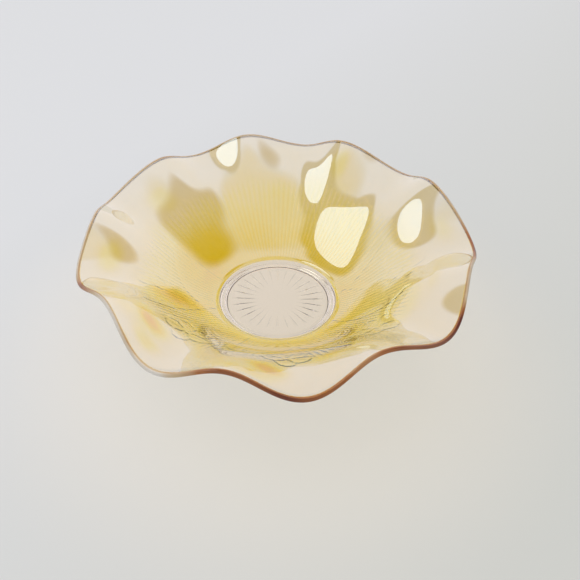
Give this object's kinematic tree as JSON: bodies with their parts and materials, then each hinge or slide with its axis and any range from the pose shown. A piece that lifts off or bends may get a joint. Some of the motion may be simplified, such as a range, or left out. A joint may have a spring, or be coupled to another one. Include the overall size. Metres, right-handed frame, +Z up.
{
  "type": "glass fruit bowl",
  "caption": "Wide, shallow pressed-glass bowl with a flared, hand-ruffled rim, a rayed disc base on a low foot ring and an amber iridescent lustre on its ribbed inside",
  "frame": {"origin": "centre of the foot ring, on the surface the bowl stands on", "axes": "+Z up out of the bowl's mouth; +X and +Y level; the bowl is round, and a ruffle lobe stands just past +X"},
  "size_m": [0.2988, 0.2984, 0.0763],
  "materials": {
    "pressed_glass": "clear, fire polished",
    "fired_lustre": "amber iridescent lustre"
  },
  "bodies": {
    "root": {"glass_bowl": "pressed_glass", "lustre_film": "fired_lustre"}
  },
  "joints": []
}
